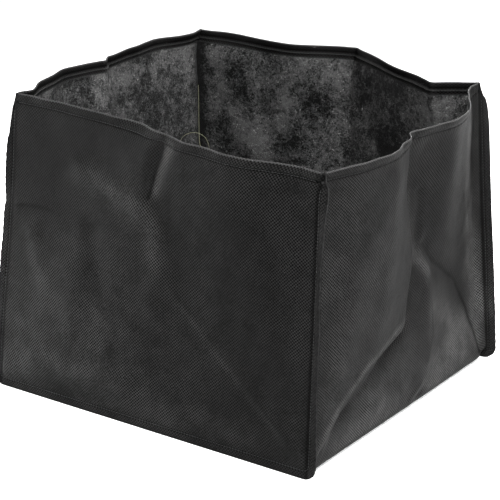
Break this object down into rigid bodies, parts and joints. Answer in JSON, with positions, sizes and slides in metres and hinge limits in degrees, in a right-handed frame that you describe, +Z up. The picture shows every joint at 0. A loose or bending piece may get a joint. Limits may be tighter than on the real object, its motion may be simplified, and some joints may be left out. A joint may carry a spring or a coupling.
{
  "type": "fabric grow bag",
  "caption": "Square open-topped fabric planter bag, felt-lined, with a turned rim hem and seam margins standing outward along its front and back panels.",
  "frame": {"origin": "centre of the floor's underside, on the ground it stands on", "axes": "+Z up, -Y towards the front panel, +X towards the right side wall"},
  "size_m": [0.4562, 0.4521, 0.33],
  "materials": {
    "outer_cloth": "coated cloth with a fine diagonal emboss, low sheen",
    "felt_lining": "fuzzy mottled needle-punched felt",
    "sewing_thread": "spun polyester thread",
    "nylon_thread": "translucent nylon monofilament"
  },
  "bodies": {
    "root": {"front_outer": "outer_cloth", "front_lining": "felt_lining", "front_hem": "outer_cloth", "back_outer": "outer_cloth", "back_lining": "felt_lining", "back_hem": "outer_cloth", "left_outer": "outer_cloth", "left_lining": "felt_lining", "left_hem": "outer_cloth", "right_outer": "outer_cloth", "right_lining": "felt_lining", "right_hem": "outer_cloth", "base_outer": "outer_cloth", "base_lining": "felt_lining", "front_seam_needle_thread": "sewing_thread", "front_seam_bobbin_thread": "sewing_thread", "back_seam_needle_thread": "sewing_thread", "back_seam_bobbin_thread": "sewing_thread", "hem_needle_thread": "sewing_thread", "hem_bobbin_thread": "sewing_thread", "loose_thread_end": "nylon_thread"}
  },
  "joints": []
}
